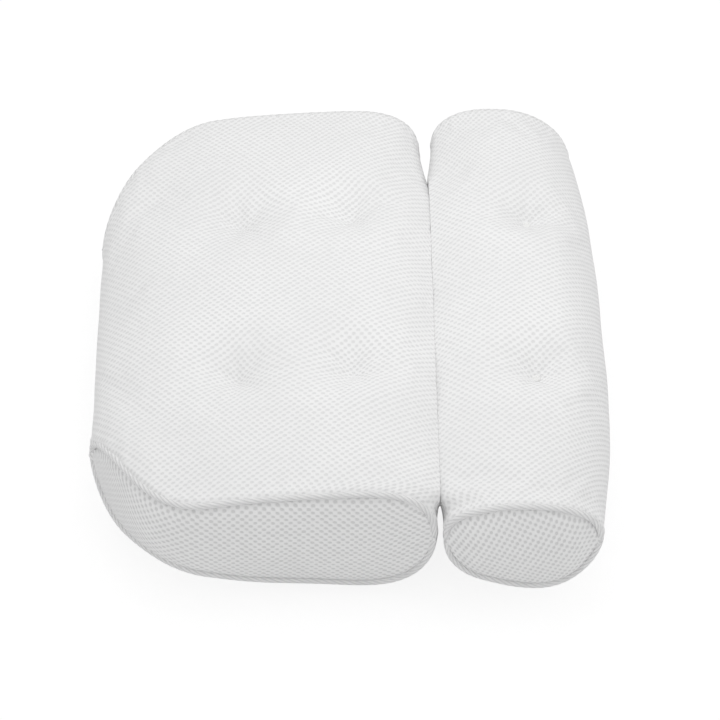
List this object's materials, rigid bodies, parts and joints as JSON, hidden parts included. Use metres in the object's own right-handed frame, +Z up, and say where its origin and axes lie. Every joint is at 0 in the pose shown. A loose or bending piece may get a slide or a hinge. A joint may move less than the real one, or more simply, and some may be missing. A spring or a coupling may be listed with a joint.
{
  "type": "bath pillow",
  "caption": "Two-part mesh bath pillow: a wide back cushion with rounded outer corners and a smaller head roll, hinged by a fabric strip, on suction cups.",
  "frame": {"origin": "centre of the bounding box in X and Y, on the plane of the suction cup rims", "axes": "+X runs from the back cushion's rounded outer edge to the head roll, +Y along both cushions, +Z up through the tufted face"},
  "size_m": [0.3252, 0.398, 0.095],
  "materials": {
    "sleeve_mesh": "white polyester spacer mesh with small oval holes, matte",
    "end_mesh": "white spacer mesh on the end panels, matte",
    "seam_bead": "overlocked seam bead, matte white",
    "fibre": "loose white polyester fibre",
    "hinge_fabric": "white woven strip, matte",
    "cup_vinyl": "soft clear vinyl, glossy",
    "washer_plastic": "white moulded plastic",
    "thread": "white polyester thread"
  },
  "bodies": {
    "back_cushion": {"panel_cover": "sleeve_mesh", "panel_filling": "fibre", "panel_end_near": "end_mesh", "panel_end_far": "end_mesh", "panel_bead_near": "seam_bead", "panel_bead_far": "seam_bead", "cup_washer_panel_1": "washer_plastic", "cup_washer_panel_2": "washer_plastic", "cup_washer_panel_3": "washer_plastic", "cup_washer_panel_4": "washer_plastic", "tuft_tie_panel_1": "thread", "tuft_tie_panel_2": "thread", "tuft_tie_panel_3": "thread", "tuft_tie_panel_4": "thread", "hinge_strip": "hinge_fabric"},
    "head_roll": {"roll_cover": "sleeve_mesh", "roll_filling": "fibre", "roll_end_near": "end_mesh", "roll_end_far": "end_mesh", "roll_bead_near": "seam_bead", "roll_bead_far": "seam_bead", "cup_washer_roll_1": "washer_plastic", "cup_washer_roll_2": "washer_plastic", "tuft_tie_roll_1": "thread", "tuft_tie_roll_2": "thread"},
    "cup_panel_1": {"suction_cup_panel_1": "cup_vinyl"},
    "cup_panel_2": {"suction_cup_panel_2": "cup_vinyl"},
    "cup_panel_3": {"suction_cup_panel_3": "cup_vinyl"},
    "cup_panel_4": {"suction_cup_panel_4": "cup_vinyl"},
    "cup_roll_1": {"suction_cup_roll_1": "cup_vinyl"},
    "cup_roll_2": {"suction_cup_roll_2": "cup_vinyl"}
  },
  "joints": [
    {"name": "roll_fold", "type": "hinge", "parent": "back_cushion", "child": "head_roll", "pos_m": [0.05275, 0, 0.035], "axis": [0, 1, 0], "range_deg": [0, 85], "deforming": ["hinge_strip"]},
    {"name": "cup_spin_panel_1", "type": "hinge", "parent": "back_cushion", "child": "cup_panel_1", "pos_m": [-0.07, -0.074, 0], "axis": [0, 0, 1], "continuous": true},
    {"name": "cup_spin_panel_2", "type": "hinge", "parent": "back_cushion", "child": "cup_panel_2", "pos_m": [-0.07, 0.074, 0], "axis": [0, 0, 1], "continuous": true},
    {"name": "cup_spin_panel_3", "type": "hinge", "parent": "back_cushion", "child": "cup_panel_3", "pos_m": [0.0005, -0.074, 0], "axis": [0, 0, 1], "continuous": true},
    {"name": "cup_spin_panel_4", "type": "hinge", "parent": "back_cushion", "child": "cup_panel_4", "pos_m": [0.0005, 0.074, 0], "axis": [0, 0, 1], "continuous": true},
    {"name": "cup_spin_roll_1", "type": "hinge", "parent": "head_roll", "child": "cup_roll_1", "pos_m": [0.115, -0.074, 0], "axis": [0, 0, 1], "continuous": true},
    {"name": "cup_spin_roll_2", "type": "hinge", "parent": "head_roll", "child": "cup_roll_2", "pos_m": [0.115, 0.074, 0], "axis": [0, 0, 1], "continuous": true}
  ]
}
